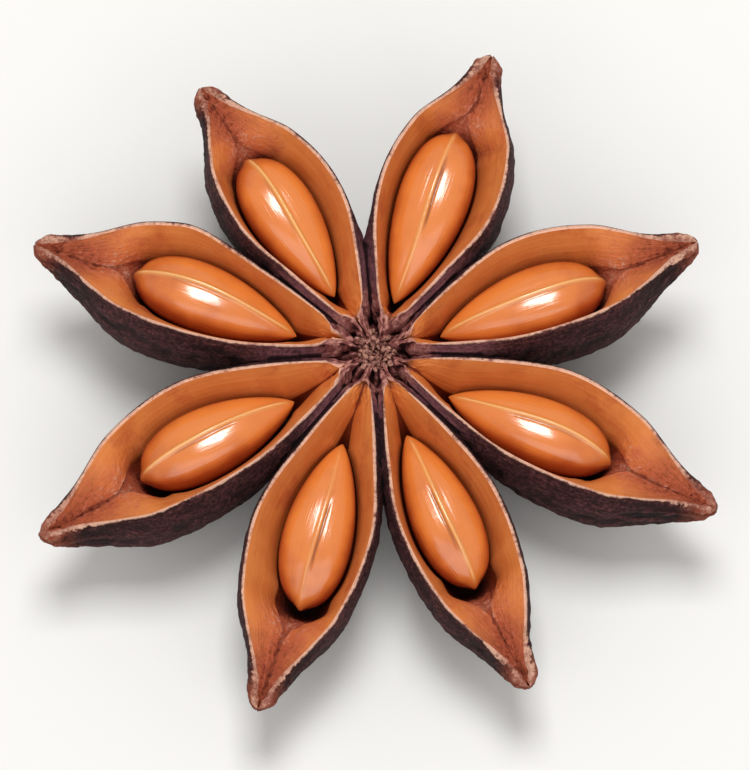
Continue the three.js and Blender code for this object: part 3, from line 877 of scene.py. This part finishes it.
# Painted shade deep in the hollow.
VOID_SHADE = linear(44, 18, 14)
VOID_SHADE_FROM = (3.4, 4.6)  # in millimetres below the lips
# The beak's first colour is painted shade in its creases, its last a painted highlight on its crests, round
# its own red.
BEAK_COLOURS = (linear(112, 38, 30), linear(210, 106, 72), linear(244, 184, 156))
BEAK_SHADES = ((-0.7, 0.2), (0.25, 1.2))
BEAK_REDDENS = (0.72, 0.97)
# The lips, and which part of the way over one belongs to it.
LIP = linear(238, 186, 160)
LIP_WORN = linear(164, 96, 78)
LIP_WEARS = (-0.1, 0.7)
LIP_BEGINS = (0.01, 0.1)
LIP_IS_OVER = (0.93, 1)
LIP_LIGHT = 0.22  # how far over a lip its pale edge reaches, in millimetres
LIP_WIDENS = 0.9  # how much further it reaches on the beak's tip, as a share
LIP_WIDENS_FROM = (0.82, 0.95)
# Where the painted shade in the clefts under the lips comes.
CLEFT_SHADE_BELOW_LIP = (0.05, 0.2)
WALL_BEGINS = (0.75, 0.98)
WALL_SMOOTH = (0.5, 1)
ROUGH = 0.76
SMOOTHER = 0.32
BARK_BUMP = 0.00015

tree, shader, spot = surface(husk_material)
place, share, inside = parts_of(mark_in(tree, "part"))
grain_along, grain_across, grain_number = parts_of(mark_in(tree, "grain"))
crest, _, _ = parts_of(mark_in(tree, "crest"))
crest = held(crest, -1, 1)
rim, depth, _ = parts_of(mark_in(tree, "rim"))

pebbles = noise(spot, FINE_PEBBLES, detail=4, roughness=0.7)
patches = noise(spot, PATCHES, detail=3)
fibrous = vector(grain_along * FIBRES_ALONG, grain_across * FIBRES_ROUND, grain_number)
fibres = noise(fibrous, FIBRES, detail=4, roughness=0.65)
# Painted shade and highlight from the relief, low in creases and high on crests, over a random mottle.
relief_shade_and_mottle = pebbles * 1.1 + fibres * 0.6 + patches * 0.15 + crest * 0.5
bark = shaded(relief_shade_and_mottle, BARK_COLOURS, BARK_SHADES)

# By the column the closed lips are pinkish pleats round pale granules, with painted shade, dark red, in the
# clefts between them.
on_lip = over(inside, LIP_BEGINS) * (1 - over(inside, LIP_IS_OVER))
cleft_shade = (1 - inside) * over(share, CLEFT_SHADE_BELOW_LIP)
folds = pebbles * 0.9 + crest * 0.7 + on_lip * 0.4 - cleft_shade * 0.6
# Painted shade in creases and painted highlights on crests, on the pleats, the core and the granules.
root = shaded(folds, ROOT_COLOURS, ROOT_SHADES)
root = mixed((1 - over(grain_along, CORE_FADES)) * (1 - over(folds, CORE_SHADES)), root, CORE_SHADE)
granule = mixed(over(pebbles * 1.5 + crest * 0.6, GRANULE_SHADES), GRANULE, GRANULE_HIGHLIGHT)
root = mixed(1 - over(grain_along, GRANULES_END), root, granule)
# The web, with painted shade in its creases and a painted highlight on its crests.
web = mixed(over(relief_shade_and_mottle, WEB_SHADES), WEB, WEB_HIGHLIGHT)
bark = mixed((1 - over(grain_along + patches, WEB_FADES)) * 0.85, bark, web)
bark = mixed((1 - over(grain_along + patches, ROOT_PINK_FADES)) * 0.8, bark, root)

# Inside, a smooth tan wall with fine lines along it, painted shade under the seed and deep in the hollow past
# it, and a torn reddish beak.
lined = vector(grain_along * STREAKS_ALONG, grain_across * STREAKS_ROUND, grain_number)
streaks = noise(lined, FIBRES, detail=2)
blush = noise(spot, BLUSH, detail=3)
blotches = noise(spot, WALL_BLOTCHES, detail=4, roughness=0.7) * -1
# Paler near the lips and darker down the hollow as painted shade, over random streaks and blush.
wall = mixed(over(streaks * 0.3 + blush * 0.6 - share, WALL_SHADES), WALL, WALL_PALE)
wall = mixed(over(blotches, WALL_BLUSHES) * 0.7, wall, WALL_BLUSH)
wall = mixed(over(pebbles + fibres * 0.6 + blush * 0.7, WALL_SPECKLES) * 0.5, wall, WALL_SPECK)
# Painted shade on the bed under the seed, which shows as a dark line round it.
wall = mixed(over(share, BED_SHADE_COMES) * 0.9, wall, BED_SHADE)
# The torn beak's relief: painted shade in its creases and painted highlights on its crests.
torn = pebbles * 1.2 + fibres * 0.7 + crest * 0.5
beak = shaded(torn, BEAK_COLOURS, BEAK_SHADES)
red = over(place + (blush * 0.12 + pebbles * 0.08) + share * 0.22, BEAK_REDDENS)
wall = mixed(red, wall, beak)
# Painted shade deep in the hollow past the seed.
wall = mixed(over(depth, VOID_SHADE_FROM), wall, VOID_SHADE)
bark = mixed(over(place, BARK_REDDENS) * 0.5, bark, beak)
colour = mixed(over(inside, WALL_BEGINS), bark, wall)

# The lips' thin edges are pale and dry, widest and most torn on the beak's tip.
at_tip = over(place, LIP_WIDENS_FROM)
lip = mixed(over(fibres + pebbles * 0.8 + blush * 0.4 + at_tip * 0.4, LIP_WEARS), LIP, LIP_WORN)
ragged = rim + pebbles * 0.09 + fibres * 0.05 + blush * 0.1 + at_tip * (fibres * 0.5 + pebbles * 0.35)
edge = on_lip * (1 - over(ragged / (1 + LIP_WIDENS * at_tip), (0.6 * LIP_LIGHT, LIP_LIGHT)))
colour = mixed(edge, colour, lip)
by_column = 1 - over(grain_along + pebbles * 0.5 + patches * 0.5 + inside * 0.7, ROOT_ENDS)
colour = mixed(by_column, colour, root)
feed(shader.inputs["Base Color"], colour)
smoothness = over(inside, WALL_SMOOTH) * (1 - red) * (1 - by_column)
feed(shader.inputs["Roughness"], ROUGH - SMOOTHER * smoothness)
shader.inputs["Specular IOR Level"].default_value = 0.2
height = (1 - smoothness) * (pebbles + fibres * 0.7) + smoothness * streaks * 0.08
bumped(shader, height, BARK_BUMP)

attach(husk, "root")
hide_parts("husk")


# Seeds. Each is a hard polished body, drawn out to a point towards the column and blunt at its outer end,
# with a fine pale ridge along the top and a hair-fine crack beside it. One tree makes all eight.
SEED_RINGS = 110
SEED_SIDES = 72
SEED_CROWDING = 0.72  # how much closer together its sides are at the ridge
SEED_TOP = 1.6  # from its widest line up to its flattened top
SEED_FLATNESS = 0.65  # below 1, it makes the top flatter than round
TOP_POINT = 0.75  # like the seed's point and blunt end, but for its height
TOP_BLUNT = 0.5
# Ridge and crack lie where the cosine of the way round from the top is large, and swerve a little together.
NEAR_TOP = (0.2, 0.6)
SWERVE = 0.1
SWERVE_WAVES = 1.5  # half waves over the seed's length
SWERVE_APART = 2.1  # how much further along the wave the next arm's seed starts
SEED_RIDGE = 0.14
RIDGE_WIDTH = 0.12
RIDGE_COMES = (0.0, 0.1)
RIDGE_ENDS = (0.95, 0.995)
CRACK = 0.1
CRACK_WIDTH = 0.06
CRACK_ASIDE = 0.2
CRACK_COMES = (0.36, 0.46)
CRACK_ENDS = (0.74, 0.86)
NIB = 0.22  # how far the ridge stands out past the blunt end
NIB_WIDTH = 0.3
NIB_COMES = (0.93, 1)

seed_material = bpy.data.materials.new("seed")


def hump(distance, width):
    """A smooth hump of height 1 where the distance is 0."""
    ratio = distance / width
    return reckon("EXPONENT", ratio * ratio * -1)


def seed_tree():
    """The tree for one seed."""
    tree, carpel = new_tree("seed", list(CARPELS[0]))
    mesh, row, step = net(tree, SEED_RINGS + 1, SEED_SIDES + 1)
    s = (1 - cosine(row * (math.pi / SEED_RINGS))) / 2
    v = step * (2 * math.pi / SEED_SIDES)
    turn = v - SEED_CROWDING * sine(v)
    taper = seed_taper(s)
    inner = carpel["seed_from"] / carpel["reach"]
    outer = inner + carpel["seed_length"] / carpel["reach"]
    t = inner + s * (outer - inner)
    lip, _ = lip_lines(carpel, t)
    inner_lip, _ = lip_lines(carpel, inner)
    outer_lip, _ = lip_lines(carpel, outer)
    middle = inner_lip + (outer_lip - inner_lip) * s + SEED_LIFT - BED_DEPTH

    half = carpel["seed_width"] / 2
    y = half * taper * sine(turn)
    above = most(cosine(turn), 0) ** SEED_FLATNESS * SEED_TOP
    below = most(cosine(turn) * -1, 0) * (SEED_HEIGHT - SEED_TOP)
    up = seed_taper(s, TOP_POINT, TOP_BLUNT) * (SEED_HEIGHT / 2 - SEED_TOP + above - below)
    swerve = sine(s * math.pi * SWERVE_WAVES + carpel["number"] * SWERVE_APART) * SWERVE * taper
    top = over(cosine(turn), NEAR_TOP)
    ridge = hump(y - swerve, RIDGE_WIDTH) * top * over(s, RIDGE_COMES) * (1 - over(s, RIDGE_ENDS))
    crack_aside = y - swerve - carpel["crack_side"] * CRACK_ASIDE
    crack_along = over(s, CRACK_COMES) * (1 - over(s, CRACK_ENDS))
    crack = hump(crack_aside, CRACK_WIDTH) * top * crack_along
    ridge = ridge * carpel["ridge"]
    crack = crack * carpel["crack"]
    up = up + ridge * SEED_RIDGE - crack * CRACK
    nib = hump(y - swerve, NIB_WIDTH) * over(s, NIB_COMES) * NIB / carpel["reach"]
    aside = carpel["seed_in"] + (carpel["seed_out"] - carpel["seed_in"]) * s
    placed = in_pod(carpel, t + nib, y + aside, middle + up, lip)
    mesh = after(mesh, "GeometryNodeSetPosition", {"Position": placed})
    mesh = marked(mesh, "part", vector(s, ridge, crack))
    grain = vector(s * carpel["seed_length"], turn * half, carpel["number"] * GRAIN_APART)
    mesh = marked(mesh, "grain", grain)
    mesh = marked(mesh, "top", vector(cosine(turn), 0, 0))
    mesh = after(closed(mesh), "GeometryNodeTransform", {"Scale": (MM, MM, MM)})
    mesh = after(mesh, "GeometryNodeSetShadeSmooth", {"Shade Smooth": True})
    return finished(mesh, seed_material)


tree = seed_tree()
for carpel in CARPELS:
    name = f"polished_seed_{carpel['number']}"
    seed = grown(name, tree, carpel)
    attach(seed, "root")
    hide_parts(f"seed_{carpel['number']}")

# The seed's colours: paler on top as painted light, and duller at the outer end, with fine lines along it.
SEED_COAT = linear(172, 70, 28)
SEED_PALE = linear(228, 130, 56)
SEED_SHADES = (-0.3, 1.1)
TOP_LIGHT_PAINTED = (0.0, 0.95)
END_DULLS = (0.6, 1.0)
SEED_RIDGE_COLOUR = linear(250, 190, 116)
SEED_CRACK_COLOUR = linear(110, 46, 20)
LINES = 0.5
LINES_ALONG = 0.1
LINES_ROUND = 2.5
CLOUDS = 1.8
POLISH = 0.18
SEED_BUMP = 0.00001

tree, shader, spot = surface(seed_material)
s, ridge, crack = parts_of(mark_in(tree, "part"))
grain_along, grain_round, grain_number = parts_of(mark_in(tree, "grain"))
topmost, _, _ = parts_of(mark_in(tree, "top"))
lined = vector(grain_along * LINES_ALONG, grain_round * LINES_ROUND, grain_number)
lines = noise(lined, LINES, detail=3, roughness=0.6)
clouds = noise(spot, CLOUDS, detail=2)
# Painted light: paler towards the top, where the light falls. Duller towards the outer end.
top_light_and_dull_end = over(topmost, TOP_LIGHT_PAINTED) - over(s, END_DULLS) * 0.5
coat = mixed(over(lines * 0.15 + clouds * 0.7 + top_light_and_dull_end, SEED_SHADES), SEED_COAT, SEED_PALE)
coat = mixed(least(ridge, 1) * 0.85, coat, SEED_RIDGE_COLOUR)
coat = mixed(crack * 0.85, coat, SEED_CRACK_COLOUR)
feed(shader.inputs["Base Color"], coat)
feed(shader.inputs["Roughness"], POLISH + lines * 0.02)
shader.inputs["Specular IOR Level"].default_value = 0.9
shader.inputs["Coat Weight"].default_value = 0.6
shader.inputs["Coat Roughness"].default_value = 0.09
bumped(shader, lines, SEED_BUMP)


# Stage. A plain pale floor, soft light from two panels and from all round, and the camera, which looks down
# steeply from far off. Lengths are in metres.
FLOOR_SIZE = 4
bpy.ops.mesh.primitive_plane_add(size=FLOOR_SIZE)
floor = bpy.context.object
floor.name = "floor"
floor_material = bpy.data.materials.new("floor")
_, shader, _ = surface(floor_material)
shader.inputs["Base Color"].default_value = linear(238, 237, 235)
shader.inputs["Roughness"].default_value = 0.9
floor.data.materials.append(floor_material)

world = bpy.data.worlds.new("studio")
bpy.context.scene.world = world
world.use_nodes = True
world.node_tree.nodes["Background"].inputs["Color"].default_value = linear(255, 252, 248)
world.node_tree.nodes["Background"].inputs["Strength"].default_value = 0.42

# Each panel's width, depth, place and power. The small one overhead gives the seeds their highlights, and
# the large one in front fills the shadows.
PANELS = {
    "overhead": (0.19, 0.19, Vector((0.0, 0.14, 0.48)), 1.5),
    "front": (1.2, 0.9, Vector((0.0, -0.6, 0.6)), 2.9),
}
for name, (width, depth, stand, power) in PANELS.items():
    panel_light = bpy.data.lights.new(name, "AREA")
    panel_light.shape = "RECTANGLE"
    panel_light.size = width
    panel_light.size_y = depth
    panel_light.energy = power
    panel = bpy.data.objects.new(name, panel_light)
    panel.location = stand
    panel.rotation_euler = (-stand).to_track_quat("-Z", "Y").to_euler()
    bpy.context.scene.collection.objects.link(panel)

VIEW_ELEVATION = math.radians(72)
VIEW_DISTANCE = 0.4
VIEW_HEIGHT = 0.04334
AIM_BELOW_COLUMN = 0.00183
SENSOR = 36
camera_data = bpy.data.cameras.new("camera")
camera_data.sensor_width = SENSOR
camera_data.lens = SENSOR * VIEW_DISTANCE / VIEW_HEIGHT
camera_data.clip_start = 0.01
camera = bpy.data.objects.new("camera", camera_data)
back = Vector((0, -math.cos(VIEW_ELEVATION), math.sin(VIEW_ELEVATION)))
upward = Vector((0, math.sin(VIEW_ELEVATION), math.cos(VIEW_ELEVATION)))
aim = COLUMN_TOP * MM - upward * AIM_BELOW_COLUMN
camera.location = aim + back * VIEW_DISTANCE
camera.rotation_euler = (-back).to_track_quat("-Z", "Y").to_euler()
bpy.context.scene.collection.objects.link(camera)
bpy.context.scene.camera = camera
bpy.context.scene.view_settings.view_transform = "Standard"
